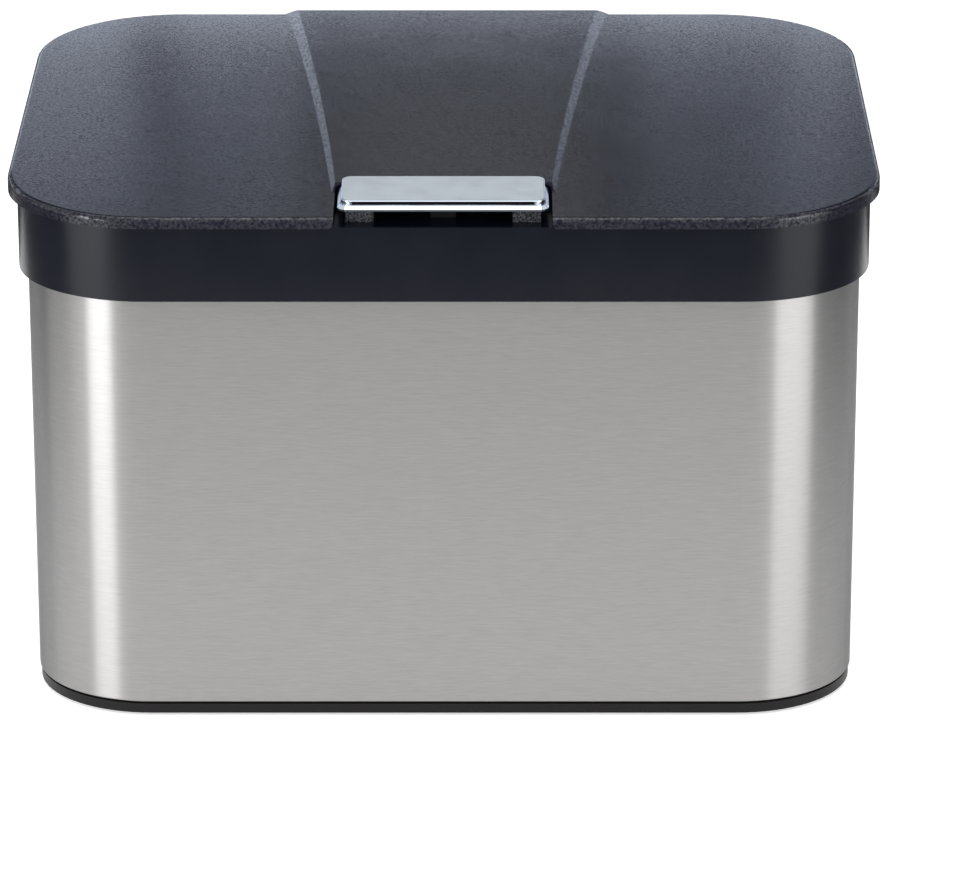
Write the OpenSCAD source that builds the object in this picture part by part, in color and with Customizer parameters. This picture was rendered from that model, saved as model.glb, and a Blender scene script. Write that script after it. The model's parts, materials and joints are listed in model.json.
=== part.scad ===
// Push top countertop bin: steel wrap, moulded base and rim, lift-out bucket, and a hinged lid
// that a push button in its front edge unlatches.
// Millimetres. +Z is up, the front faces -Y, and the origin is on the floor under the middle of the
// whole bin, its rear hinge barrels included.

/* [Lid] */
// Width of the lid, the widest piece
lid_w = 280; // [250:1:320]
// Depth of the lid from front to back
lid_d = 216; // [200:1:250]
// Plan corner radius of the lid
lid_corner = 47; // [40:1:55]
// Height of the lid's edge at the front
lid_edge_h = 3.6; // [3.5:0.1:6]
// How much higher the lid stands at the back than at the front
lid_rise = 8.5; // [5:0.5:12]
// Thickness of the lid's moulding
lid_wall = 2.2; // [1.8:0.1:2.6]
// Radius of the lid's rounded top edge
lid_round = 1.6; // [1:0.1:2.4]
// How proud the centre panel stands at the back
panel_rise = 1.5; // [0.8:0.1:2.5]
// Half width of the centre panel at its front end
panel_front_half = 35.5; // [34.5:0.5:40]
// How much wider each half of the panel is at the back
panel_flare = 20.5; // [10:0.5:30]

/* [Body] */
// Height of the collar's skirt
collar_h = 24.5; // [20:0.5:34]
// Height of the collar's top above the floor
collar_top = 167; // [150:1:220]
// How far the lid overhangs the collar
lid_overhang = 3; // [2:0.5:5]
// How far the collar stands out from the steel
collar_overhang = 3; // [3:0.5:5]
// Plan corner radius of the collar
collar_corner = 43; // [38:1:50]
// Thickness of the collar's skirt
collar_wall = 2; // [1.6:0.1:2]
// Thickness of the collar's deck
deck_t = 2.2; // [1.8:0.1:3]
// Thickness of the steel wrap
steel_t = 0.5; // [0.4:0.1:0.8]
// Plan corner radius of the steel wrap
steel_corner = 39; // [39:1:45]
// Height of the dark base rim under the steel
base_rim_h = 4; // [3:0.5:8]
// How far the rubber feet stand below the base
foot_proud = 1; // [0.5:0.5:3]
// Diameter of a rubber foot
foot_dia = 18; // [14:1:24]

/* [Bucket] */
// Width of the deck at each side of its opening
side_deck = 11; // [9:0.5:20]
// Depth of the deck between the collar's front and the opening
front_deck = 44; // [43:0.5:50]
// Depth of the deck between the collar's back and the opening
rear_deck = 12; // [10:0.5:20]
// Wall of the inner bucket
bucket_wall = 1.5; // [1.2:0.1:2]
// How far each side of the bucket draws in towards its bottom
bucket_draft = 3; // [1:0.5:8]
// Width of the flange that rests on the deck
flange_w = 4; // [3:0.5:6]
// Radius of the finger scallops in the deck
scallop_r = 12; // [9:0.5:14]

/* [Button] */
// Width of the bright button
button_w = 66.5; // [60:0.5:80]
// Depth of the bright button
button_d = 25.5; // [22:0.5:26]
// Height of the bright cap
button_h = 3.2; // [2.6:0.1:5]
// How far the button travels
button_travel = 4; // [3:0.25:4.5]
// Width of each leg under the button
leg_w = 9; // [7:0.5:11]
// Distance between the middles of the two legs
leg_pitch = 52.6; // [48:0.2:58]

/* [Hinge and latch] */
// Diameter of the hinge pins
hinge_pin_dia = 3; // [2.5:0.1:3.6]
// Outer radius of the hinge barrels
barrel_r = 3.6; // [3.4:0.1:4]
// Distance of each hinge from the middle of the bin
hinge_x = 62; // [50:1:80]
// Diameter of the latch lever's pin
latch_pin_dia = 2; // [1.6:0.1:2.6]
// Angle that the latch lever turns while the button travels
latch_turn = 20; // [18:1:22]

/* [Clearances] */
// Gap between moving pieces, and between pieces that lie loosely on each other
gap = 0.3; // [0.2:0.05:0.4]
// Gap all round the button in the lid's notch
notch_gap = 1.2; // [0.8:0.1:2]
// Radial gap of the hinge pins and the latch pin in what turns on them
run_gap = 0.06; // [0.03:0.01:0.1]
// Gap between the inner bucket and the deck's opening, and over the screw bosses
bucket_gap = 1; // [0.6:0.1:2]
// Radial gap of a pin, peg or screw in the hole that holds it
fixed_gap = 0.02; // [0.01:0.01:0.03]
// Radial gap of a screw in what it passes through
screw_gap = 0.2; // [0.1:0.05:0.3]
// Gap between a coil spring and its seats
touch = 0.05; // [0.02:0.01:0.1]

/* [Hidden] */
$fn = 48;

// How deep a rib, lug or peg is rooted in what carries it, and how far a cutting shape runs past
root = 0.5;
past = 1;

// Plan sizes of the collar and the steel, and the collar's opening
collar_w = lid_w - 2 * lid_overhang;
collar_d = lid_d - 2 * lid_overhang;
steel_w = collar_w - 2 * collar_overhang;
steel_d = collar_d - 2 * collar_overhang;
opening_w = collar_w - 2 * side_deck;
opening_front = -collar_d / 2 + front_deck;
opening_back = collar_d / 2 - rear_deck;
opening_d = opening_back - opening_front;
opening_y = (opening_front + opening_back) / 2;
opening_corner = 28;

// Heights of the stack
base_bottom = foot_proud;
steel_bottom = base_bottom + base_rim_h;
collar_bottom = collar_top - collar_h;
deck_under = collar_top - deck_t;
lid_bottom = collar_top + gap;
lid_slope = atan(lid_rise / lid_d);
flange_t = 1.5;
flange_top = collar_top + flange_t;

// Base tray
shadow_line = 0.8;
base_inset = 0.5;
neck_inset = 1.5;
rim_w = 4;
hem_w = 2.5;
hem_round = 0.5;
upstand_t = 1.6;
upstand_h = 10;
upstand_inset = hem_w + gap;
floor_t = 1.6;
rib_t = 1.5;
rib_pitch = 42;
rib_lift = 1;
boss_wall = 2;
boss_h = 3;
boss_top = steel_bottom + boss_h;
lug_len = 12;
lug_nose = 0.6;
lug_h = 2.4;
seam_w = 10;

// Rubber feet and their screws
foot_seat = 2;
foot_inset = 32;
foot_x = steel_w / 2 - foot_inset;
foot_y = steel_d / 2 - foot_inset;
foot_web = 1.2;
well_r = 4;
well_taper = 0.4;
tread_bevel = 1;
screw_r = 1.5;
screw_head_h = 1.2;
screw_seat = foot_proud + foot_seat - foot_web;
screw_len = boss_top - 3 * gap - screw_seat;

// Collar
channel_t = 1.4;
channel_h = 12;
stiffener_t = 1.5;
stiffener_h = 3;
scallop_inset = 6;
scallop_x = opening_w / 2 - opening_corner - scallop_r - scallop_inset;

// Hinge
hinge_y = collar_d / 2 + barrel_r + 2 * gap;
hinge_z = collar_top - barrel_r - 3 * gap;
ear_w = 4;
knuckle_w = 8;
spring_room = 7.6;
hinge_len = 2 * ear_w + knuckle_w + spring_room + 3 * gap;
knuckle_x = ear_w + gap;
spring_x = knuckle_x + knuckle_w + gap;
far_ear_x = spring_x + spring_room + gap;
pin_end = 0.2;
pin_head_t = 1;
pin_head_r = hinge_pin_dia / 2 + 0.9;
hinge_wire_r = 0.4;
hinge_spring_r = hinge_pin_dia / 2 + 0.95;
hinge_spring_turns = 5;
knuckle_root = 3;

// Half of the barrels' reach past the lid's back edge, taken off so that the origin is in the middle
shift_y = (lid_d / 2 * cos(lid_slope) - hinge_y - barrel_r) / 2;

// Bucket
bucket_low = boss_top + bucket_gap;
bucket_round = 6;
skin = 0.1;

// Latch housing, under the deck and behind the steel's front wall
housing_wall = 1.6;
housing_w = 76;
housing_front = -steel_d / 2 + steel_t + 2 * gap;
housing_back = opening_front - stiffener_t - gap;
housing_top = deck_under - gap;

// Button: the carrier's legs stand right behind the housing's front wall
leg_d = 8;
leg_front = housing_front + housing_wall + gap;
carrier_bottom = collar_top + gap + button_travel;
cap_bottom = carrier_bottom + gap;
cap_front = leg_front - 4;
cap_lip = 1.1;
cap_lip_h = 1.6;
cap_slope_rise = 1.2;
cap_slope = atan(cap_slope_rise / (button_d - 2 * cap_lip));
cap_pocket = 1.2;
cap_pocket_inset = 3;
cap_corner = 3.2;
cap_round = 0.4;
lip_bevel = 1;
plate_w = button_w - 2 * cap_lip - 2 * cap_pocket_inset;
plate_d = button_d - 2 * cap_lip - 2 * cap_pocket_inset;
plate_corner = 2;
carrier_top = cap_bottom + cap_pocket;
cap_y = cap_front + button_d / 2;
notch_half = button_w / 2 + notch_gap;
notch_back = cap_front + button_d + notch_gap;
notch_corner = 4;
leg_catch = 1.2;
leg_catch_h = 2;
catch_inset = 2;
leg_drop = 7.8;
leg_bottom = deck_under - leg_drop;
guide_t = 1.2;
guide_past = 2;
spring_r = 2.9;
spring_wire_r = 0.35;
spring_turns = 5;
spigot_h = 3;

// Latch lever, turning on its pin, with the plunger over its front arm and the striker behind it
pivot_inset = 2.2;
pivot_drop = 14.5;
pivot_y = notch_back - pivot_inset;
pivot_z = collar_top - pivot_drop;
lever_half = 4.5;
lever_t = 3;
lever_reach = 16.5;
hub_r = 3;
arm_half = 2;
arm_gusset = 1.5;
nose_z = 8.2;
nose_edge = 0.7;
nose_reach = 6.3;
nose_head = 10.4;
cheek_in = 11;
cheek_t = 2.5;
cheek_r = 4;
latch_wire_r = 0.3;
latch_spring_r = latch_pin_dia / 2 + 1.2;
latch_spring_turns = 3;
latch_spring_pitch = 1.15;
spring_tab_z = 4;
spring_tab_h = 2.5;
plunger_half = 4;
plunger_d = 4;
plunger_reach = 11.5;
plunger_back = pivot_y - plunger_reach;
plunger_bottom = pivot_z + lever_t / 2 + gap;
housing_floor = pivot_z - lever_reach * sin(latch_turn) - lever_t / 2 * cos(latch_turn) - 2 * gap;
striker_t = 2.2;
striker_front = notch_back + lid_wall;
striker_half = 7.5;
striker_wing = 16;
striker_back = opening_front - flange_w - gap;
window_half = lever_half + 2 * gap;
window_low = pivot_z + nose_z - gap;
window_h = 3.8;
window_high = window_low + window_h;
striker_lip = 3;
striker_bottom = window_low - striker_lip;
plate_t = 1.6;
plate_top = lid_under(striker_front) - gap / 2;
stake_r = 1.5;
stake_head = 0.6;
stake_x = 12;

// Screws of the latch housing
tab_r = 3.5;
tab_t = 2;
tab_x = housing_w / 2 + tab_r;
tab_boss_h = 2.8;
tab_top = deck_under - tab_boss_h;
front_tab = 4.5;
rear_tab = 2;
tab_ys = [leg_front + front_tab, striker_front + rear_tab];
tab_screw_r = 1.2;
tab_head_h = 1.4;
deck_bite = 0.8;

// Wire springs
wire_sides = 6;
rings_per_turn = 8;

// Lid seal and buffers
seal_w = 2.5;
seal_bottom = flange_top + gap;
seal_top = lid_under(opening_front - flange_w) - gap / 2;
seal_rib_more = 2;
bumper_r = 3;
bumper_taper = 0.6;
bumper_stem_r = 1.5;
bumper_stem_past = 2;
bumper_side = 32;
bumper_front = 13;
bumper_x = collar_w / 2 - bumper_side;
bumper_y = -collar_d / 2 + bumper_front;

// Raised centre panel of the lid: its bevels, and how far it runs on beside the button
panel_reach = 7;
panel_start = 0.65;
panel_fade = 0.04;
panel_bow = 0.28;
bevel_run = 2.4;

// Height of the lid's top face, and of its underside, at a distance y from the middle
function lid_top(y) = lid_bottom + lid_edge_h + (y + lid_d / 2) * tan(lid_slope);
function lid_under(y) = lid_top(y) - lid_wall;

// Half width and height of the raised centre panel, t from 0 at its front to 1 at its back
function panel_half(t) = panel_front_half + panel_flare * ((1 - panel_bow) * t + panel_bow * t * t);
function panel_h(t) = panel_rise * t + panel_start * (1 - t) * max(panel_fade, min(1, t / panel_fade));

// Moves a sub-part from the middle of the lid's plan to the bin's own origin
module in_place() {
    translate([0, shift_y, 0])
        children();
}

// Rectangle with true round corners
module plan(w, d, corner) {
    square([w - 2 * corner, d], center = true);
    square([w, d - 2 * corner], center = true);
    for (x = [-1, 1], y = [-1, 1])
        translate([x * (w / 2 - corner), y * (d / 2 - corner)])
            circle(corner);
}

// Upright plate between two heights
module slab(low, high, w, d, corner) {
    translate([0, 0, low])
        linear_extrude(high - low)
            plan(w, d, corner);
}

// Upright wall between two heights, t thick inside the given outline
module wall(low, high, w, d, corner, t) {
    translate([0, 0, low])
        linear_extrude(high - low)
            difference() {
                plan(w, d, corner);
                plan(w - 2 * t, d - 2 * t, corner - t);
            }
}

// Half section of a plate with a rounded or bevelled top edge, its top at height 0
module soft_half(half, h, edge, bevelled) {
    translate([0, -h])
        square([half - edge, h]);
    translate([0, -h])
        square([half, h - edge]);
    if (bevelled)
        translate([half - edge, -edge])
            polygon([[0, 0], [edge, 0], [0, edge]]);
    else
        translate([half - edge, -edge])
            circle(edge);
}

// Plate with round plan corners and a rounded or bevelled top edge, its top face at height 0
module soft_slab(w, d, h, corner, edge, bevelled = false) {
    for (x = [-1, 1], y = [-1, 1])
        translate([x * (w / 2 - corner), y * (d / 2 - corner), 0])
            rotate_extrude()
                soft_half(corner, h, edge, bevelled);
    rotate([90, 0, 0])
        linear_extrude(d - 2 * corner, center = true)
            for (side = [0, 1])
                mirror([side, 0])
                    soft_half(w / 2, h, edge, bevelled);
    rotate([90, 0, 90])
        linear_extrude(w - 2 * corner, center = true)
            for (side = [0, 1])
                mirror([side, 0])
                    soft_half(d / 2, h, edge, bevelled);
}

// Box given by its lowest and highest corners
module block(low, high) {
    translate(low)
        cube(high - low);
}

// Shape drawn in the side view, Y to the right and Z up, and given a width along X
module side_shape(x, w) {
    translate([x, 0, 0])
        rotate([90, 0, 90])
            linear_extrude(w)
                children();
}

// Round bar along X through a point of the side view
module cross_bar(x, w, y, z, r) {
    side_shape(x, w)
        translate([y, z])
            circle(r);
}

// Puts a shape at both hinges, drawn from the outer end of the right one towards the middle
module at_hinges() {
    for (side = [0, 1])
        mirror([side, 0, 0])
            translate([hinge_x + hinge_len / 2, 0, 0])
                mirror([1, 0, 0])
                    children();
}

// Unit vector
function unit(v) = v / norm(v);

// Direction of a path at one of its points
function heading(path, i) = unit(path[min(i + 1, len(path) - 1)] - path[max(i - 1, 0)]);

// Round wire along a path that winds about the given axis
module wire(path, r, axis) {
    rings = len(path);
    points = [for (i = [0:rings - 1], k = [0:wire_sides - 1])
        let (ahead = heading(path, i), side = unit(cross(ahead, axis)), turn = 360 * k / wire_sides)
        path[i] + r * (cos(turn) * side + sin(turn) * cross(side, ahead))];
    sides = [for (i = [0:rings - 2], k = [0:wire_sides - 1])
        let (a = i * wire_sides + k, b = i * wire_sides + (k + 1) % wire_sides)
        each [[a, b, b + wire_sides], [a, b + wire_sides, a + wire_sides]]];
    first = [[for (k = [wire_sides - 1:-1:0]) k]];
    last = [[for (k = [0:wire_sides - 1]) (rings - 1) * wire_sides + k]];
    polyhedron(points, concat(sides, first, last));
}

// Points of a helix about the X axis that starts at the given angle
function coil_x(x, r, turns, pitch, start) = [for (i = [0:turns * rings_per_turn])
    let (a = start + 360 * i / rings_per_turn)
    [x + pitch * i / rings_per_turn, r * cos(a), r * sin(a)]];

// Least distance between the surfaces of a wire's neighbouring turns
function turn_gap(path, r) = min([for (i = [0:len(path) - 1], j = [0:len(path) - 1])
    if (j - i > rings_per_turn / 2) norm(path[j] - path[i])]) - 2 * r;

// Moulded base: rim under the steel, floor with ribs, upstand that holds the steel, bosses
module base_tray() {
    color("#2b2b30")
        in_place()
            difference() {
                union() {
                    slab(base_bottom, steel_bottom - shadow_line, steel_w - 2 * base_inset,
                        steel_d - 2 * base_inset, steel_corner - base_inset);
                    slab(base_bottom, steel_bottom, steel_w - 2 * neck_inset, steel_d - 2 * neck_inset,
                        steel_corner - neck_inset);
                    wall(base_bottom, steel_bottom + upstand_h, steel_w - 2 * upstand_inset,
                        steel_d - 2 * upstand_inset, steel_corner - upstand_inset, upstand_t);
                    base_lugs();
                    for (x = [-1, 1], y = [-1, 1])
                        translate([x * foot_x, y * foot_y, base_bottom])
                            cylinder(h = boss_top - base_bottom, r = screw_r + boss_wall);
                }
                difference() {
                    slab(-past, steel_bottom - floor_t, steel_w - 2 * rim_w, steel_d - 2 * rim_w,
                        steel_corner - rim_w);
                    base_ribs();
                    for (x = [-1, 1], y = [-1, 1])
                        translate([x * foot_x, y * foot_y, 0])
                            cylinder(h = steel_bottom, d = foot_dia + 2 * boss_wall);
                }
                for (x = [-1, 1], y = [-1, 1])
                    translate([x * foot_x, y * foot_y, -past]) {
                        cylinder(h = past + foot_proud + foot_seat, d = foot_dia + 2 * gap);
                        cylinder(h = past + boss_top - gap, r = screw_r + fixed_gap);
                    }
            }
}

// Ribs across the hollow underside
module base_ribs() {
    count = floor(steel_w / 2 / rib_pitch);
    for (i = [-count:count])
        block([i * rib_pitch - rib_t / 2, -steel_d / 2, base_bottom + rib_lift],
            [i * rib_pitch + rib_t / 2, steel_d / 2, steel_bottom]);
    for (y = [-1, 0, 1])
        block([-steel_w / 2, y * steel_d / 4 - rib_t / 2, base_bottom + rib_lift],
            [steel_w / 2, y * steel_d / 4 + rib_t / 2, steel_bottom]);
}

// Wedges on the upstand that snap over the steel's turned-in hem
module base_lugs() {
    reach = upstand_inset - steel_t - gap;
    low = steel_bottom + steel_t + gap;
    wedge = [[root, 0], [-reach, 0], [-reach, lug_nose], [0, lug_h], [root, lug_h]];
    for (side = [0, 1], x = [-1, 0, 1])
        mirror([0, side, 0])
            side_shape(x * steel_w / 4 - lug_len / 2, lug_len)
                translate([-steel_d / 2 + upstand_inset, low])
                    polygon(wedge);
    for (side = [0, 1], y = [-1, 1])
        mirror([side, 0, 0])
            translate([0, y * steel_d / 5 - lug_len / 2, 0])
                mirror([1, -1, 0])
                    side_shape(0, lug_len)
                        translate([-steel_w / 2 + upstand_inset, low])
                            polygon(wedge);
}

// Four anti-slip feet with a bevelled tread and a well for the screw's head
module rubber_feet() {
    foot_h = foot_proud + foot_seat;
    hole = screw_r + screw_gap;
    color("#1d1d1f")
        in_place()
            for (x = [-1, 1], y = [-1, 1])
                translate([x * foot_x, y * foot_y, 0])
                    rotate_extrude()
                        polygon([[hole, foot_h], [foot_dia / 2, foot_h], [foot_dia / 2, foot_proud / 2],
                            [foot_dia / 2 - tread_bevel, 0], [well_r, 0],
                            [well_r - well_taper, screw_seat], [hole, screw_seat]]);
}

// Screws that hold the feet, with a cross slot in each head
module foot_screws() {
    color("#8d9096")
        in_place()
            for (x = [-1, 1], y = [-1, 1])
                translate([x * foot_x, y * foot_y, 0])
                    pan_screw(screw_seat, screw_r, screw_len, screw_head_h);
}

// Pan head screw that points up, its head hanging under the given height
module pan_screw(seat, r, length, head_h) {
    difference() {
        union() {
            translate([0, 0, seat - head_h])
                cylinder(h = head_h, r1 = 1.6 * r, r2 = 1.9 * r);
            translate([0, 0, seat - head_h])
                cylinder(h = head_h + length - r, r = r);
            translate([0, 0, seat + length - r])
                cylinder(h = r, r1 = r, r2 = 0.15 * r);
        }
        for (turn = [0, 90])
            rotate(turn)
                block([-r, -r / 4, seat - head_h - past], [r, r / 4, seat - head_h / 2]);
    }
}

// Brushed stainless wrap with a hem turned in at the bottom and a lap seam up the back
module steel_sleeve() {
    top = deck_under - gap;
    back = steel_d / 2;
    color("#b9b8b6")
        in_place() {
            wall(steel_bottom + hem_round, top, steel_w, steel_d, steel_corner, steel_t);
            steel_hem();
            block([-seam_w / 2, back - steel_t, steel_bottom + hem_round],
                [seam_w / 2, back + steel_t, top]);
        }
}

// Turned-in hem with a rounded outer edge
module steel_hem() {
    hem_h = 2 * hem_round;
    difference() {
        translate([0, 0, steel_bottom])
            mirror([0, 0, 1])
                soft_slab(steel_w, steel_d, hem_h, steel_corner, hem_round);
        slab(steel_bottom + steel_t, steel_bottom + hem_h + past, steel_w - 2 * steel_t,
            steel_d - 2 * steel_t, steel_corner - steel_t);
        slab(steel_bottom - past, steel_bottom + hem_h, steel_w - 2 * hem_w, steel_d - 2 * hem_w,
            steel_corner - hem_w);
    }
}

// Black plastic rim: skirt over the steel, deck round the bucket, hinge ears at the back
module collar() {
    color("#23252c")
        in_place()
            difference() {
                union() {
                    wall(collar_bottom, collar_top, collar_w, collar_d, collar_corner, collar_wall);
                    slab(deck_under, collar_top, collar_w - collar_wall, collar_d - collar_wall,
                        collar_corner - collar_wall / 2);
                    steel_channel();
                    opening_wall(deck_under - stiffener_h, deck_under, stiffener_t);
                    for (x = [-1, 1], y = tab_ys)
                        translate([x * tab_x, y, tab_top])
                            cylinder(h = deck_under - tab_top, r = tab_r);
                    hinge_ears();
                }
                translate([0, opening_y, deck_under - stiffener_h - past])
                    linear_extrude(deck_t + stiffener_h + 2 * past)
                        plan(opening_w, opening_d, opening_corner);
                deck_slots();
                finger_scallops();
                hinge_bores();
            }
}

// Inner wall of the channel that the steel's top edge stands in, left out at the latch housing
module steel_channel() {
    inset = steel_t + gap;
    difference() {
        wall(deck_under - channel_h, deck_under, steel_w - 2 * inset, steel_d - 2 * inset,
            steel_corner - inset, channel_t);
        block([-housing_w / 2 - gap, -steel_d, 0], [housing_w / 2 + gap, 0, collar_top]);
    }
}

// Wall round the opening, t thick outside it
module opening_wall(low, high, t) {
    translate([0, opening_y, low])
        linear_extrude(high - low)
            plan(opening_w + 2 * t, opening_d + 2 * t, opening_corner + t);
}

// Slots in the deck for the button's legs, the plunger, the striker, the buffers and the screws
module deck_slots() {
    low = deck_under - past;
    high = collar_top + past;
    for (x = [-1, 1])
        translate([x * leg_pitch / 2, 0, 0])
            block([-leg_w / 2 - gap, leg_front - gap, low],
                [leg_w / 2 + gap, leg_front + leg_d + gap, high]);
    block([-plunger_half - gap, plunger_back - plunger_d - gap, low],
        [plunger_half + gap, plunger_back + gap, high]);
    block([-striker_half - 4 * gap, striker_front - 3 * gap, low],
        [striker_half + 4 * gap, striker_front + striker_t + 5 * gap, high]);
    for (x = [-1, 1])
        translate([x * bumper_x, bumper_y, low])
            cylinder(h = high - low, r = bumper_stem_r + fixed_gap);
    for (x = [-1, 1], y = tab_ys)
        translate([x * tab_x, y, tab_top - past])
            cylinder(h = past + deck_under - tab_top + deck_bite + gap, r = tab_screw_r + fixed_gap);
}

// Half-round cut-outs beside the latch, for fingers under the bucket's flange
module finger_scallops() {
    for (x = [-1, 1])
        translate([x * scallop_x, opening_front, deck_under - stiffener_h - past])
            cylinder(h = stiffener_h + deck_t + 2 * past, r = scallop_r);
}

// Ears that carry the hinge pins, each with a gusset down the skirt
module hinge_ears() {
    back = collar_d / 2;
    inside = back - collar_wall / 2;
    foot = hinge_z - 3 * barrel_r;
    at_hinges()
        for (x = [0, far_ear_x]) {
            cross_bar(x, ear_w, hinge_y, hinge_z, barrel_r);
            side_shape(x, ear_w)
                polygon([[inside, foot], [back, foot], [hinge_y + 0.8 * barrel_r, hinge_z - 0.6 * barrel_r],
                    [hinge_y, hinge_z + barrel_r], [inside, hinge_z + barrel_r]]);
        }
}

// Bores in the ears for the hinge pins
module hinge_bores() {
    at_hinges()
        cross_bar(-past, hinge_len + 2 * past, hinge_y, hinge_z, hinge_pin_dia / 2 + fixed_gap);
}

// Lift-out bucket: tapered walls, rounded bottom and a flange that rests on the deck
module inner_bucket() {
    w = opening_w - 2 * bucket_gap;
    d = opening_d - 2 * bucket_gap;
    corner = opening_corner - bucket_gap;
    color("#3a3c42")
        in_place()
            translate([0, opening_y, 0])
                difference() {
                    union() {
                        tub(bucket_low, collar_top, w, d, corner);
                        slab(collar_top, flange_top, opening_w + 2 * flange_w, opening_d + 2 * flange_w,
                            opening_corner + flange_w);
                    }
                    tub(bucket_low + bucket_wall, flange_top + past, w - 2 * bucket_wall,
                        d - 2 * bucket_wall, corner - bucket_wall);
                }
}

// Solid that draws in towards its bottom, where its edge is rounded
module tub(low, high, w, d, corner) {
    hull() {
        slab(high - skin, high, w, d, corner);
        for (step = [[1, 0], [0.3, 0.3], [0, 1]]) {
            up = low + step[0] * bucket_round;
            inset = bucket_draft + step[1] * bucket_round;
            slab(up, up + skin, w - 2 * inset, d - 2 * inset, corner - inset);
        }
    }
}

// Box under the front deck: leg guides, spring spigots, lever cheeks and four screw tabs
module latch_housing() {
    half = housing_w / 2;
    color("#2f3138")
        in_place()
            difference() {
                union() {
                    difference() {
                        block([-half, housing_front, housing_floor - housing_wall],
                            [half, housing_back, housing_top]);
                        block([-half + housing_wall, housing_front + housing_wall, housing_floor],
                            [half - housing_wall, housing_back - housing_wall, deck_under]);
                    }
                    for (x = [-1, 1], y = tab_ys)
                        translate([x * tab_x, y, tab_top - tab_t]) {
                            cylinder(h = tab_t, r = tab_r);
                            mirror([x > 0 ? 0 : 1, 0, 0])
                                block([-tab_r - root, -tab_r, 0], [0, tab_r, tab_t]);
                        }
                    for (x = [-1, 1]) {
                        translate([x * leg_pitch / 2, leg_front + leg_d / 2, housing_floor - housing_wall])
                            cylinder(h = housing_wall + spigot_h, r = spring_r - spring_wire_r - 2 * gap);
                        leg_guides(x);
                    }
                    lever_cheeks();
                }
                for (x = [-1, 1], y = tab_ys)
                    translate([x * tab_x, y, tab_top - tab_t - past])
                        cylinder(h = tab_t + 2 * past, r = tab_screw_r + screw_gap);
                cross_bar(-half, housing_w, pivot_y, pivot_z, latch_pin_dia / 2 + fixed_gap);
            }
}

// Ribs that guide one leg of the button
module leg_guides(side) {
    guide_top = deck_under - leg_catch_h - button_travel - 2 * gap;
    for (edge = [-1, 1]) {
        inner = side * leg_pitch / 2 + edge * (leg_w / 2 + gap);
        outer = inner + edge * guide_t;
        block([min(inner, outer), housing_front + housing_wall - root, housing_floor - root],
            [max(inner, outer), leg_front + leg_d + guide_past, guide_top]);
    }
}

// Cheeks that carry the latch pin
module lever_cheeks() {
    for (side = [0, 1])
        mirror([side, 0, 0])
            side_shape(cheek_in, cheek_t) {
                translate([pivot_y, pivot_z])
                    circle(cheek_r);
                translate([pivot_y - cheek_r, housing_floor - root])
                    square([2 * cheek_r, pivot_z - housing_floor + root]);
            }
}

// Screws that draw the housing's tabs up to the deck
module housing_screws() {
    color("#8d9096")
        in_place()
            for (x = [-1, 1], y = tab_ys)
                translate([x * tab_x, y, 0])
                    pan_screw(tab_top - tab_t, tab_screw_r, tab_t + tab_boss_h + deck_bite, tab_head_h);
}

// Shaft of the latch lever, fixed in the cheeks
module latch_pin() {
    reach = cheek_in + cheek_t + root;
    color("#9a9da3")
        in_place()
            cross_bar(-reach, 2 * reach, pivot_y, pivot_z, latch_pin_dia / 2);
}

// Torsion spring on the latch pin, one leg on the floor and one in front of the lever's tab
module latch_spring() {
    r = latch_wire_r;
    start = lever_half + 2 * gap + r;
    end = start + latch_spring_turns * latch_spring_pitch;
    up = spring_tab_z + spring_tab_h - gap;
    down = housing_floor + r + gap - pivot_z;
    winding = coil_x(start, latch_spring_r, latch_spring_turns, latch_spring_pitch, 180);
    leg_up = [for (i = [3:-1:1]) [start, -latch_spring_r, up * i / 3]];
    leg_down = [for (i = [1:2]) [end, -latch_spring_r, down * i / 2]];
    echo(latch_spring_turn_gap = turn_gap(winding, r));
    color("#c0c2c6")
        in_place()
            translate([0, pivot_y, pivot_z])
                wire(concat(leg_up, winding, leg_down), r, [1, 0, 0]);
}

// Bell crank: front arm under the plunger, upright arm with the hook nose, tab for its spring
module latch_lever() {
    low = -lever_t / 2;
    high = lever_t / 2;
    tab_front = -latch_spring_r + latch_wire_r + gap / 2;
    color("#d8d5cc")
        in_place()
            translate([0, pivot_y, pivot_z])
                difference() {
                    union() {
                        cross_bar(-lever_half, 2 * lever_half, 0, 0, hub_r);
                        side_shape(-lever_half, 2 * lever_half)
                            polygon([[-lever_reach, low], [0, low], [arm_half, 0], [arm_half, nose_z],
                                [nose_reach, nose_z], [nose_reach, nose_z + nose_edge],
                                [arm_half, nose_head], [-arm_half, nose_head],
                                [-arm_half, high + arm_gusset], [-arm_half - arm_gusset, high],
                                [-lever_reach, high]]);
                        block([lever_half - root, tab_front, spring_tab_z],
                            [lever_half + 3 * gap + 2 * latch_wire_r, root, spring_tab_z + spring_tab_h]);
                    }
                    cross_bar(-lever_half - past, 2 * (lever_half + past), 0, 0,
                        latch_pin_dia / 2 + run_gap);
                }
}

// Compression springs between the housing's floor and the button's legs
module button_springs() {
    low = housing_floor + spring_wire_r + touch;
    high = leg_bottom - spring_wire_r - touch;
    pitch = (high - low) / spring_turns;
    path = [for (i = [0:spring_turns * rings_per_turn])
        let (a = 360 * i / rings_per_turn)
        [spring_r * cos(a), spring_r * sin(a), low + pitch * i / rings_per_turn]];
    echo(button_spring_turn_gap = turn_gap(path, spring_wire_r));
    color("#c0c2c6")
        in_place()
            for (x = [-1, 1])
                translate([x * leg_pitch / 2, leg_front + leg_d / 2, 0])
                    wire(path, spring_wire_r, [0, 0, 1]);
}

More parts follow.
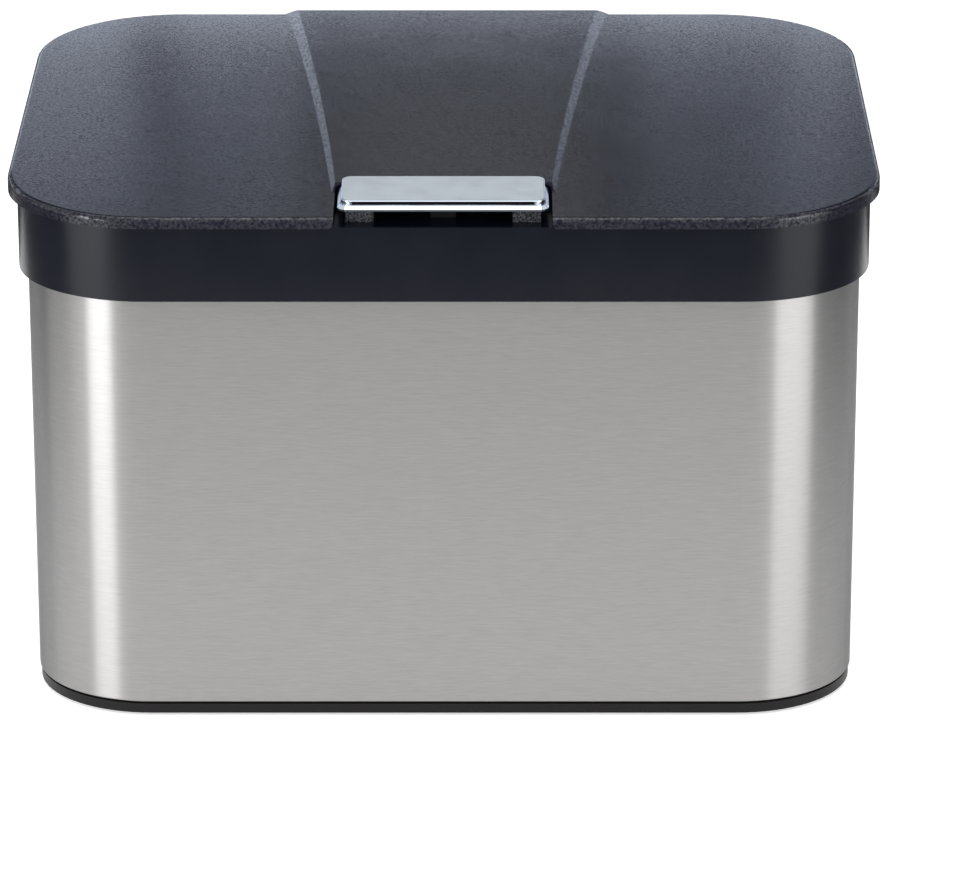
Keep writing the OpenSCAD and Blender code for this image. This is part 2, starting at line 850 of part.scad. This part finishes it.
// Black carrier under the cap: plate, two legs with catches under the deck, and the plunger
module button_carrier() {
    catch_top = deck_under - gap;
    color("#1c1d20")
        in_place() {
            translate([0, cap_y, 0])
                slab(carrier_bottom, carrier_top, plate_w, plate_d, plate_corner);
            for (side = [0, 1])
                mirror([side, 0, 0])
                    translate([leg_pitch / 2, 0, 0]) {
                        block([-leg_w / 2, leg_front, leg_bottom],
                            [leg_w / 2, leg_front + leg_d, cap_bottom - touch]);
                        block([0, leg_front + catch_inset, catch_top - leg_catch_h],
                            [leg_w / 2 + leg_catch, leg_front + leg_d - catch_inset, catch_top]);
                    }
            block([-plunger_half, plunger_back - plunger_d, plunger_bottom],
                [plunger_half, plunger_back, carrier_top - gap / 2]);
        }
}

// Bright button: top that slopes down to the front on a wider bevelled lip, hollowed below for
// the carrier's plate
module button_cap() {
    w = button_w - 2 * cap_lip;
    d = button_d - 2 * cap_lip;
    color("#c9d3da")
        in_place()
            translate([0, cap_y, 0])
                difference() {
                    union() {
                        translate([0, -d / 2, cap_bottom + button_h])
                            rotate([cap_slope, 0, 0])
                                translate([0, d / 2, 0])
                                    soft_slab(w, d, button_h, cap_corner, cap_round);
                        translate([0, 0, cap_bottom + cap_lip_h])
                            soft_slab(button_w, button_d, cap_lip_h, cap_corner, lip_bevel, true);
                    }
                    slab(cap_bottom - past, carrier_top, plate_w + gap, plate_d + gap, plate_corner);
                }
}

// Lid: sloping shell with a raised centre panel, a notch for the button and two hinge knuckles
module lid_shell() {
    color("#34363c")
        in_place()
            difference() {
                union() {
                    difference() {
                        lid_body();
                        difference() {
                            lid_plane(-lid_wall)
                                slab(-5 * lid_rise, 0, lid_w - 2 * lid_wall, lid_d - 2 * lid_wall,
                                    lid_corner - lid_wall);
                            notch(lid_wall);
                        }
                        block([-lid_w, -lid_d, 0], [lid_w, lid_d, lid_bottom]);
                    }
                    seal_rib();
                    striker_stakes();
                    knuckles();
                }
                notch(0);
                lip_ends();
                at_hinges()
                    cross_bar(-past, hinge_len + 2 * past, hinge_y, hinge_z, hinge_pin_dia / 2 + run_gap);
            }
}

// Puts a shape that is drawn flat onto the lid's sloping top face, raised by the given amount
module lid_plane(raise) {
    translate([0, 0, lid_top(0)])
        rotate([lid_slope, 0, 0])
            translate([0, 0, raise])
                children();
}

// Outer solid of the lid with its raised panel, before it is hollowed and cut off level below
module lid_body() {
    depth = lid_edge_h + lid_rise + lid_wall;
    lid_plane(0)
        soft_slab(lid_w, lid_d, depth, lid_corner, lid_round);
    intersection() {
        lid_plane(panel_rise)
            soft_slab(lid_w, lid_d, panel_rise + lid_wall, lid_corner, lid_round);
        lid_plane(0)
            panel();
    }
}

// Raised centre panel: narrow and low at the button, wider and prouder at the back
module panel() {
    steps = 24;
    sunk = lid_wall / 2;
    front = notch_back - panel_reach;
    length = lid_d / 2 - front + past;
    rows = [for (i = [0:steps])
        let (t = i / steps, y = front + t * length, rise = panel_h(t),
            low = panel_half(t) + bevel_run * sunk, high = panel_half(t) - bevel_run * rise)
        each [[-low, y, -sunk], [low, y, -sunk], [high, y, rise], [-high, y, rise]]];
    sides = [for (i = [0:steps - 1], k = [0:3])
        let (a = 4 * i + k, b = 4 * i + (k + 1) % 4)
        each [[a, b, b + 4], [a, b + 4, a + 4]]];
    polyhedron(rows, concat(sides, [[3, 2, 1, 0]], [[for (k = [0:3]) 4 * steps + k]]));
}

// Room for the button, open to the front, with its walls moved outwards by the given amount
module notch(grow) {
    half = notch_half + grow;
    length = lid_d + notch_back + grow;
    translate([0, notch_back + grow - length / 2, lid_bottom - past])
        linear_extrude(lid_edge_h + lid_rise + panel_rise + 2 * past)
            plan(2 * half, length, notch_corner + grow);
}

// Rounds the lower corners of the lid's lip where it ends at the notch
module lip_ends() {
    round = lid_round;
    for (side = [0, 1])
        mirror([side, 0, 0])
            translate([notch_half, notch_back - notch_corner, lid_bottom])
                rotate([90, 0, 0])
                    linear_extrude(lid_d)
                        difference() {
                            translate([-past, -past])
                                square(round + past);
                            translate([round, round])
                                circle(round);
                        }
}

// Ring under the lid that carries the seal
module seal_rib() {
    intersection() {
        seal_ring(seal_top, lid_top(lid_d), seal_w + seal_rib_more);
        lid_plane(-lid_wall / 2)
            slab(-5 * lid_rise, 0, lid_w - lid_wall, lid_d - lid_wall, lid_corner);
    }
}

// Ring over the bucket's flange, of the given width
module seal_ring(low, high, w) {
    grow = flange_w + w;
    translate([0, opening_y, low])
        linear_extrude(high - low)
            difference() {
                plan(opening_w + grow, opening_d + grow, opening_corner + grow / 2);
                plan(opening_w + grow - 2 * w, opening_d + grow - 2 * w, opening_corner + grow / 2 - w);
            }
}

// Pegs that pass through the striker's wings and are staked over below them
module striker_stakes() {
    for (x = [-1, 1])
        translate([x * stake_x, (striker_front + striker_back) / 2, plate_top - plate_t - stake_head]) {
            cylinder(h = stake_head + plate_t + lid_wall, r = stake_r);
            cylinder(h = stake_head, r1 = stake_r + stake_head, r2 = stake_r + 1.5 * stake_head);
        }
}

// Knuckles that turn on the hinge pins behind the collar
module knuckles() {
    front = hinge_y - barrel_r;
    at_hinges() {
        cross_bar(knuckle_x, knuckle_w, hinge_y, hinge_z, barrel_r);
        side_shape(knuckle_x, knuckle_w)
            polygon([[front, hinge_z], [front, lid_bottom + knuckle_root],
                [lid_d / 2 - root, lid_bottom + knuckle_root], [lid_d / 2, lid_bottom],
                [hinge_y + barrel_r, hinge_z]]);
    }
}

// Soft ring under the lid that lies on the bucket's flange
module lid_seal() {
    color("#6d7076")
        in_place()
            seal_ring(seal_bottom, seal_top, seal_w);
}

// Catch plate under the lid: a windowed tongue for the latch's nose and two staked wings
module lid_striker() {
    color("#8f9398")
        in_place()
            difference() {
                union() {
                    block([-striker_half, striker_front, striker_bottom],
                        [striker_half, striker_front + striker_t, plate_top]);
                    block([-striker_wing, striker_front, plate_top - plate_t],
                        [striker_wing, striker_back, plate_top]);
                }
                block([-window_half, striker_front - past, window_low],
                    [window_half, striker_front + striker_t + past, window_high]);
                for (x = [-1, 1])
                    translate([x * stake_x, (striker_front + striker_back) / 2, plate_top - plate_t - past])
                        cylinder(h = plate_t + 2 * past, r = stake_r + fixed_gap);
            }
}

// Rubber buffers that are pressed into the deck and take the lid's front corners
module lid_bumpers() {
    h = lid_under(bumper_y - bumper_r) - gap - collar_top;
    color("#1d1d1f")
        in_place()
            for (x = [-1, 1])
                translate([x * bumper_x, bumper_y, 0]) {
                    translate([0, 0, deck_under - bumper_stem_past])
                        cylinder(h = deck_t + bumper_stem_past, r = bumper_stem_r);
                    translate([0, 0, collar_top])
                        cylinder(h = h, r1 = bumper_r, r2 = bumper_r - bumper_taper);
                }
}

// Steel pins of the two hinges, each with a head at its outer end
module hinge_pins() {
    color("#9a9da3")
        in_place()
            at_hinges() {
                cross_bar(-pin_end, hinge_len + 2 * pin_end, hinge_y, hinge_z, hinge_pin_dia / 2);
                cross_bar(-pin_end - pin_head_t, pin_head_t, hinge_y, hinge_z, pin_head_r);
            }
}

// Torsion springs on the hinge pins, one leg under the lid's rim and one down the collar
module hinge_springs() {
    r = hinge_wire_r;
    pitch = (spring_room - 3 * r) / hinge_spring_turns;
    start = spring_x + 1.5 * r;
    end = start + hinge_spring_turns * pitch;
    up = lid_bottom - hinge_z - r / 4;
    winding = coil_x(start, hinge_spring_r, hinge_spring_turns, pitch, 180);
    leg_up = [for (i = [3:-1:1]) [start, -hinge_spring_r, up * i / 3]];
    leg_down = [for (i = [1:3]) [end, -hinge_spring_r, -2 * barrel_r * i / 3]];
    echo(hinge_spring_turn_gap = turn_gap(winding, r));
    color("#c0c2c6")
        in_place()
            at_hinges()
                translate([0, hinge_y, hinge_z])
                    wire(concat(leg_up, winding, leg_down), r, [1, 0, 0]);
}

base_tray();
rubber_feet();
foot_screws();
steel_sleeve();
collar();
inner_bucket();
latch_housing();
housing_screws();
latch_pin();
latch_spring();
latch_lever();
button_springs();
button_carrier();
button_cap();
lid_shell();
lid_seal();
lid_striker();
lid_bumpers();
hinge_pins();
hinge_springs();
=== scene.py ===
"""Push top countertop bin: looks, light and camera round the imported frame.

Metres, +Z up, front towards -Y.
"""

import json
import math

import bmesh
import bpy
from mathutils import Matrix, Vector


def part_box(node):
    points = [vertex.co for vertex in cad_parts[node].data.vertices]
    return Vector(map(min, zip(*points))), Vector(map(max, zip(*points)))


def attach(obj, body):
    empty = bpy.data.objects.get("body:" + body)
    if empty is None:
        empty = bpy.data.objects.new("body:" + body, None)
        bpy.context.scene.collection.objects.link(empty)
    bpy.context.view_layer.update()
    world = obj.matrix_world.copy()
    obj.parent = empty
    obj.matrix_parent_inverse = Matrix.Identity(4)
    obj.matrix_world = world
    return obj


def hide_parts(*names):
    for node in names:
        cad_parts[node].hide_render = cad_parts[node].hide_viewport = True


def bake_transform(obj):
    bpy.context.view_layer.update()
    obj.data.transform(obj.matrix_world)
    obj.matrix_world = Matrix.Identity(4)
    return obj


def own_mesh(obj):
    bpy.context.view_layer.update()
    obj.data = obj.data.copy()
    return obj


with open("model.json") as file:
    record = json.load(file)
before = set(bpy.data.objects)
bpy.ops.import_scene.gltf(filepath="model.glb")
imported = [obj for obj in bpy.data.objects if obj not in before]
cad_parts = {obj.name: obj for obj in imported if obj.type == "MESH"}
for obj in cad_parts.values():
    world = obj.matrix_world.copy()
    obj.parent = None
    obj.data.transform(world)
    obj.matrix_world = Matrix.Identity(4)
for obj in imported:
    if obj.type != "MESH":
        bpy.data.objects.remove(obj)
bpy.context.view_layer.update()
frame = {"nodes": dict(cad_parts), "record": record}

MM = 0.001

# Camera: the photograph's width in pixels and the viewpoint fitted to it
PHOTO_W = 963
FOCAL_PX = 5286.6
SENSOR_MM = 36.0
CAMERA_PLACE = (12.09 * MM, -1691.8 * MM, 660.7 * MM)
CAMERA_PITCH_DEG = 19.63
CLIP_START = 0.05
CLIP_END = 20

# Button cap: depth of the lip before its top plate, heights of the lip and of the plate's front edge
CAP_STEP = 1.1 * MM
CAP_LIP = 1.6 * MM
CAP_FRONT = 3.2 * MM

# Painted dark reflection, a black unplated strip along the front of the cap's top plate: how far it stops
# short of the cap's ends and of the plate's edges, and half its depth
REFLECTION_STRIP_END = 4.6 * MM
REFLECTION_STRIP_MARGIN = 0.3 * MM
REFLECTION_STRIP_HALF_DEPTH = 0.4 * MM

# Half the width of the carrier's middle, between its textured legs, which is painted black as shade without
# the legs' speckle
CARRIER_SHADED_MIDDLE = 22 * MM

# Side of each hinge spring, left and right, on which its leg lies against the lid
HINGE_LEG_SIDES = (-1, 1)

# Stretches of a mask's or a noise's range over which a finish changes from one value to the other
FULL = (0.0, 1.0)
BROAD = (0.3, 0.7)
MIDDLE = (0.35, 0.65)

# Plastic: patches per metre in its sheen, how far they change its roughness, and how strongly grain is raised
SHEEN_PATCHES = 60
SHEEN_SWING = 0.015
BUMP_STRENGTH = 0.8

# Small hardware: how far its roughness changes
METAL_SWING = 0.06

# Sockets of the Mix node for colours, which share their names with those for other kinds of data
MIX_FACTOR = 0
MIX_BASE = 6
MIX_COLOUR = 7
MIX_RESULT = 2

# Floor: half its width, and the glow that brings it to white where it is lit
FLOOR_HALF = 6
FLOOR_GLOW = 0.55

# Cards: height of the level ones above the floor, and their two tones
CARD_LIFT = 1 * MM
GREY_TONE = 0.11
BLACK_TONE = 0.02

# World: its strength as light, and as the camera and mirrors see it
WORLD_LIGHT = 0.5
WORLD_SEEN = 1.0

WHITE = (1, 1, 1)
COOL = (0.76, 0.84, 1.0)

# Lamps: place, the point that each faces, width, height, radiance and colour
LAMPS = {
    "left_strip": ((-0.866, -0.836, 0.40), (-0.10, -0.07, 0.40), 0.44, 0.80, 6.6, WHITE),
    "left_fill": ((-1.10, -0.15, 0.40), (0, 0, 0.40), 0.80, 0.80, 1.0, WHITE),
    "right_strip": ((0.895, -0.705, 0.40), (0.10, -0.07, 0.40), 0.70, 0.80, 3.2, WHITE),
    "back_low": ((0, 0.27, 0.222), (0, 0, 0.222), 0.90, 0.03, 2.8, COOL),
    "wing_left": ((-0.085, 0.33, 0.31), (-0.085, 0, 0.18), 0.05, 0.16, 0.40, COOL),
    "wing_right": ((0.115, 0.33, 0.31), (0.105, 0, 0.18), 0.08, 0.16, 0.28, COOL),
    "back_left": ((-0.31, 0.33, 0.325), (-0.1, 0, 0.18), 0.42, 0.13, 0.85, COOL),
    "back_right": ((0.31, 0.33, 0.325), (0.1, 0, 0.18), 0.40, 0.13, 0.44, COOL),
    "button_card": ((0, 1.0, 0.64), (0, -0.1, 0.175), 0.15, 0.09, 0.80, WHITE),
    "overhead": ((0, -0.25, 1.5), (0, -0.1, 0.1), 1.2, 1.3, 1.6, WHITE),
}


def add_camera():
    """Camera at the photograph's viewing angle, with no shift and no depth of field."""
    data = bpy.data.cameras.new("camera")
    data.sensor_width = SENSOR_MM
    data.lens = FOCAL_PX * SENSOR_MM / PHOTO_W
    data.clip_start = CLIP_START
    data.clip_end = CLIP_END
    camera = bpy.data.objects.new("camera", data)
    camera.location = CAMERA_PLACE
    camera.rotation_euler = (math.radians(90 - CAMERA_PITCH_DEG), 0, 0)
    bpy.context.scene.collection.objects.link(camera)
    bpy.context.scene.camera = camera


class Shader:
    """A material's node tree, with short calls for the nodes that the finishes share."""

    def __init__(self, name, **settings):
        self.material = bpy.data.materials.new(name)
        self.material.use_nodes = True
        self.nodes = self.material.node_tree.nodes
        self.links = self.material.node_tree.links
        self.bsdf = self.nodes["Principled BSDF"]
        self.coords = self.nodes.new("ShaderNodeTexCoord").outputs["Object"]
        for socket, value in settings.items():
            self.bsdf.inputs[socket.replace("_", " ")].default_value = value

    def noise(self, *per_metre, detail=2.0, roughness=0.5):
        """Fractal noise, its scale given once for all axes or once for each."""
        mapping = self.nodes.new("ShaderNodeMapping")
        mapping.inputs["Scale"].default_value = per_metre if len(per_metre) == 3 else per_metre * 3
        self.links.new(self.coords, mapping.inputs["Vector"])
        node = self.nodes.new("ShaderNodeTexNoise")
        node.inputs["Scale"].default_value = 1.0
        node.inputs["Detail"].default_value = detail
        node.inputs["Roughness"].default_value = roughness
        self.links.new(mapping.outputs["Vector"], node.inputs["Vector"])
        return node.outputs["Fac"]

    def ramp(self, value, dark, light, stops=BROAD):
        """Dark colour up to the first stop, light from the second."""
        node = self.nodes.new("ShaderNodeValToRGB")
        for element, position, colour in zip(node.color_ramp.elements, stops, (dark, light)):
            element.position = position
            element.color = (*colour, 1)
        self.links.new(value, node.inputs["Fac"])
        return node.outputs["Color"]

    def span(self, value, low, high, stops=FULL):
        """Low up to the first stop, high from the second."""
        node = self.nodes.new("ShaderNodeMapRange")
        node.inputs["From Min"].default_value, node.inputs["From Max"].default_value = stops
        node.inputs["To Min"].default_value = low
        node.inputs["To Max"].default_value = high
        self.links.new(value, node.inputs["Value"])
        return node.outputs["Result"]

    def within(self, centre, half):
        """1 inside a box of object coordinates, else 0."""
        parts = self.nodes.new("ShaderNodeSeparateXYZ")
        self.links.new(self.coords, parts.inputs["Vector"])
        inside = None
        for axis in range(3):
            near = self.nodes.new("ShaderNodeMath")
            near.operation = "COMPARE"
            near.inputs[1].default_value = centre[axis]
            near.inputs[2].default_value = half[axis]
            self.links.new(parts.outputs[axis], near.inputs[0])
            if inside is not None:
                both = self.nodes.new("ShaderNodeMath")
                both.operation = "MINIMUM"
                self.links.new(inside, both.inputs[0])
                self.links.new(near.outputs["Value"], both.inputs[1])
                near = both
            inside = near.outputs["Value"]
        return inside

    def mixed(self, factor, base, colour):
        """The base at 0, the colour at 1."""
        node = self.nodes.new("ShaderNodeMix")
        node.data_type = "RGBA"
        self.links.new(factor, node.inputs[MIX_FACTOR])
        self.links.new(base, node.inputs[MIX_BASE])
        node.inputs[MIX_COLOUR].default_value = (*colour, 1)
        return node.outputs[MIX_RESULT]

    def bump(self, height, depth):
        """Raises the surface by up to the depth."""
        node = self.nodes.new("ShaderNodeBump")
        node.inputs["Strength"].default_value = BUMP_STRENGTH
        node.inputs["Distance"].default_value = depth
        self.links.new(height, node.inputs["Height"])
        self.into("Normal", node.outputs["Normal"])

    def into(self, socket, output):
        """Links an output to one of the shader's sockets."""
        self.links.new(output, self.bsdf.inputs[socket])


def shade(colour, factor):
    """The colour made lighter or darker."""
    return tuple(min(1.0, channel * factor) for channel in colour)


def moulded(name, colour, roughness, grain_mm, depth_mm, contrast=0.12, sheen=None, **settings):
    """Moulded plastic with a fine spark-eroded grain, which can also break up its sheen."""
    shader = Shader(name, **settings)
    grain = shader.noise(1 / (grain_mm * MM), detail=3.0, roughness=0.6)
    cloud = shader.noise(SHEEN_PATCHES)
    shader.into("Base Color", shader.ramp(grain, shade(colour, 1 - contrast), shade(colour, 1 + contrast)))
    shader.into("Roughness", shader.span(cloud, roughness - SHEEN_SWING, roughness + SHEEN_SWING, MIDDLE))
    if sheen:
        shader.into("Specular IOR Level", shader.span(grain, *sheen, MIDDLE))
    shader.bump(grain, depth_mm * MM)
    return shader.material


def brushed_steel():
    """Stainless steel brushed round the body, so that what it mirrors is drawn out up and down."""
    shader = Shader("brushed_steel", Metallic=1.0, Anisotropic=0.95, Anisotropic_Rotation=0.25,
                    Specular_Tint=(0.5, 0.5, 0.5, 1))
    lines = shader.noise(150, 150, 3000, detail=3.0, roughness=0.65)
    flecks = shader.noise(260, 260, 1800)
    shader.into("Base Color", shader.ramp(lines, (0.305, 0.30, 0.297), (0.345, 0.34, 0.337)))
    shader.into("Roughness", shader.span(flecks, 0.30, 0.36, BROAD))
    tangent = shader.nodes.new("ShaderNodeTangent")
    tangent.direction_type = "RADIAL"
    tangent.axis = "Z"
    shader.into("Tangent", tangent.outputs["Tangent"])
    return shader.material


def bright_plate():
    """Bright plated plastic of the button, with a painted dark reflection, a black unplated strip, along the
    front of its top plate.
    """
    shader = Shader("bright_plate")
    low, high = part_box("button_cap")
    centre = ((low[0] + high[0]) / 2, low[1] + CAP_STEP, low[2] + (CAP_LIP + CAP_FRONT) / 2)
    half = ((high[0] - low[0]) / 2 - REFLECTION_STRIP_END, REFLECTION_STRIP_HALF_DEPTH, (CAP_FRONT - CAP_LIP) / 2 - REFLECTION_STRIP_MARGIN)
    painted_reflection = shader.within(centre, half)
    soft = shader.noise(120)
    plate = shader.ramp(soft, (0.53, 0.595, 0.665), (0.56, 0.625, 0.695))
    # The masked strip is painted near black and unplated, as a dark reflection
    shader.into("Base Color", shader.mixed(painted_reflection, plate, (0.004, 0.004, 0.005)))
    shader.into("Metallic", shader.span(painted_reflection, 1.0, 0.0))
    shader.into("Specular IOR Level", shader.span(painted_reflection, 0.5, 0.05))
    shader.into("Roughness", shader.span(soft, 0.06, 0.11, BROAD))
    return shader.material


def carrier_plastic():
    """Carrier's textured legs, with its middle painted black as shade, without the legs' speckle."""
    shader = Shader("carrier_plastic", Roughness=0.55, Specular_IOR_Level=0.25)
    painted_shade = shader.within((0, 0, 0), (CARRIER_SHADED_MIDDLE, 1, 1))
    grain = shader.noise(1500, roughness=0.6)
    speckle = shader.ramp(grain, (0.004, 0.0042, 0.0048), (0.11, 0.115, 0.13), stops=(0.42, 0.62))
    # The middle is painted near black as shade over the recess between the legs
    shader.into("Base Color", shader.mixed(painted_shade, speckle, (0.003, 0.003, 0.0035)))
    shader.bump(grain, 0.08 * MM)
    return shader.material


def small_metal(name, colour, roughness):
    """Zinc plate or drawn wire of the small hardware."""
    shader = Shader(name, Metallic=1.0)
    soft = shader.noise(700)
    shader.into("Base Color", shader.ramp(soft, shade(colour, 0.85), shade(colour, 1.1)))
    shader.into("Roughness", shader.span(soft, roughness - METAL_SWING, roughness + METAL_SWING, BROAD))
    return shader.material


def finishes():
    """Material for each slot of the record."""
    return {
        "lid": moulded("lid_plastic", (0.0075, 0.0083, 0.016), roughness=0.22, grain_mm=0.9,
                       depth_mm=0.025, contrast=0.3, sheen=(0.1, 0.7)),
        "rim": moulded("rim_plastic", (0.0018, 0.003, 0.008), roughness=0.23, grain_mm=0.35,
                       depth_mm=0.01, Specular_IOR_Level=0.33),
        "steel": brushed_steel(),
        "base": moulded("base_plastic", (0.007, 0.006, 0.007), roughness=0.42, grain_mm=0.35,
                        depth_mm=0.05, Specular_IOR_Level=0.2),
        "chrome": bright_plate(),
        "carrier": carrier_plastic(),
        "bucket": moulded("bucket_plastic", (0.05, 0.052, 0.058), roughness=0.5, grain_mm=0.4,
                          depth_mm=0.04),
        "housing": moulded("housing_plastic", (0.03, 0.032, 0.038), roughness=0.5, grain_mm=0.4,
                           depth_mm=0.04),
        "acetal": moulded("acetal", (0.60, 0.58, 0.52), roughness=0.35, grain_mm=0.8,
                          depth_mm=0.01, contrast=0.03),
        "rubber": moulded("rubber", (0.016, 0.016, 0.017), roughness=0.7, grain_mm=0.25,
                          depth_mm=0.05),
        "seal": moulded("seal_silicone", (0.15, 0.16, 0.18), roughness=0.55, grain_mm=0.5,
                        depth_mm=0.02, contrast=0.05),
        "zinc": small_metal("zinc_plate", (0.45, 0.46, 0.48), roughness=0.32),
        "spring_steel": small_metal("spring_wire", (0.50, 0.51, 0.53), roughness=0.25),
    }


def dress_nodes(materials):
    """Gives every CAD node the finish of its slot."""
    for part in frame["record"]["subparts"]:
        node = frame["nodes"][part["node"]]
        node.data.materials.clear()
        node.data.materials.append(materials[part["material_slot"]])


def spring_copy(node, name, side=0):
    """Copy of a CAD spring; side -1 or 1 keeps one half of a pair."""
    source = frame["nodes"][node]
    mesh = source.data.copy()
    mesh.name = name
    form = bmesh.new()
    form.from_mesh(mesh)
    bmesh.ops.transform(form, matrix=source.matrix_world, verts=form.verts)
    other = [vert for vert in form.verts if vert.co.x * side < 0]
    bmesh.ops.delete(form, geom=other, context="VERTS")
    form.to_mesh(mesh)
    form.free()
    spring = bpy.data.objects.new(name, mesh)
    bpy.context.scene.collection.objects.link(spring)
    return spring


def twist(spring):
    """Bakes a torsion spring's placement into its mesh."""
    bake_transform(spring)


def add_springs():
    """Copies of the CAD's springs, shown in place of the CAD's own, which are hidden; the button coils are
    parented to the bin.
    """
    coils = spring_copy("button_springs", "button_coils")
    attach(coils, "bin")
    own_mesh(coils)
    springs = {"button_springs": [coils], "latch_spring": [spring_copy("latch_spring", "latch_coil")]}
    twist(springs["latch_spring"][0])
    springs["hinge_springs"] = [spring_copy("hinge_springs", "hinge_coil_left", -1),
                                spring_copy("hinge_springs", "hinge_coil_right", 1)]
    for spring, lid_side in zip(springs["hinge_springs"], HINGE_LEG_SIDES):
        twist(spring)
    for node, copies in springs.items():
        for spring in copies:
            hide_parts(node)


def backdrop_rays(nodes, links):
    """1 for the rays that show the backdrop to the camera, in mirrors and through glass, else 0."""
    path = nodes.new("ShaderNodeLightPath")
    seen = path.outputs["Is Camera Ray"]
    for kind in ("Is Glossy Ray", "Is Transmission Ray"):
        either = nodes.new("ShaderNodeMath")
        either.operation = "MAXIMUM"
        links.new(seen, either.inputs[0])
        links.new(path.outputs[kind], either.inputs[1])
        seen = either.outputs["Value"]
    return seen


def add_sheet(name, corners, material):
    """Flat sheet of the studio through its corners."""
    mesh = bpy.data.meshes.new(name)
    form = bmesh.new()
    form.faces.new([form.verts.new(corner) for corner in corners])
    form.to_mesh(mesh)
    form.free()
    mesh.materials.append(material)
    sheet = bpy.data.objects.new(name, mesh)
    bpy.context.scene.collection.objects.link(sheet)
    return sheet


def level(low, high, z=CARD_LIFT):
    """Corners of a level rectangle."""
    return [(low[0], low[1], z), (high[0], low[1], z), (high[0], high[1], z), (low[0], high[1], z)]


def upright(start, end, top):
    """Corners of an upright rectangle on the floor between two points."""
    return [(*start, 0), (*end, 0), (*end, top), (*start, top)]


def add_floor():
    """Floor that the camera and mirrors see as white, apart from the object's shadow."""
    shader = Shader("floor_white", Roughness=0.9, Emission_Color=(1, 1, 1, 1))
    shader.into("Base Color", shader.ramp(shader.noise(40), (0.86,) * 3, (0.88,) * 3, FULL))
    seen = backdrop_rays(shader.nodes, shader.links)
    shader.into("Emission Strength", shader.span(seen, 0.0, FLOOR_GLOW))
    add_sheet("floor", level((-FLOOR_HALF, -FLOOR_HALF), (FLOOR_HALF, FLOOR_HALF), 0), shader.material)


def card_stock(name, tone):
    """Matt card of one tone."""
    shader = Shader(name, Roughness=0.9)
    shader.into("Base Color", shader.ramp(shader.noise(60), (tone * 0.9,) * 3, (tone * 1.1,) * 3, FULL))
    return shader.material


def add_cards():
    """Dark cards in front, at the sides and behind, seen only in what the bin mirrors."""
    grey = card_stock("card_grey", GREY_TONE)
    black = card_stock("card_black", BLACK_TONE)
    cards = {
        "front_card": (grey, level((-0.45, -1.6), (0.45, -0.50))),
        "left_card": (grey, level((-1.6, -0.25), (-0.45, 0.9))),
        "right_card": (grey, level((0.45, -0.25), (1.6, 0.9))),
        "left_wall": (grey, upright((-2.2, -1.2), (-2.2, 1.2), 1.6)),
        "right_wall": (grey, upright((2.2, -1.2), (2.2, 1.2), 1.6)),
        "rear_card": (black, level((-0.45, 0.36), (0.45, 1.2))),
        "back_card": (black, upright((-1.4, 1.2), (1.4, 1.2), 2.2)),
    }
    for name, (stock, corners) in cards.items():
        card = add_sheet(name, corners, stock)
        card.visible_camera = False
        card.visible_diffuse = False
        card.visible_shadow = False


def set_world():
    """White to the camera and to mirrors, a softer grey as light."""
    world = bpy.data.worlds.new("studio")
    bpy.context.scene.world = world
    world.use_nodes = True
    nodes = world.node_tree.nodes
    links = world.node_tree.links
    background = nodes["Background"]
    strength = nodes.new("ShaderNodeMapRange")
    strength.inputs["To Min"].default_value = WORLD_LIGHT
    strength.inputs["To Max"].default_value = WORLD_SEEN
    links.new(backdrop_rays(nodes, links), strength.inputs["Value"])
    links.new(strength.outputs["Result"], background.inputs["Strength"])
    background.inputs["Color"].default_value = (1, 1, 1, 1)


def add_lamp(name, place, target, width, height, radiance, colour):
    """Soft rectangular lamp that faces a point, unseen by the camera."""
    data = bpy.data.lights.new(name, "AREA")
    data.shape = "RECTANGLE"
    data.size = width
    data.size_y = height
    data.energy = radiance * math.pi * width * height
    data.color = colour
    lamp = bpy.data.objects.new(name, data)
    lamp.location = place
    aim = Vector(target) - Vector(place)
    lamp.rotation_euler = aim.to_track_quat("-Z", "Y").to_euler()
    lamp.visible_camera = False
    bpy.context.scene.collection.objects.link(lamp)


add_camera()
dress_nodes(finishes())
add_springs()
add_floor()
add_cards()
set_world()
for lamp_name, settings in LAMPS.items():
    add_lamp(lamp_name, *settings)
bpy.context.scene.view_settings.view_transform = "Standard"
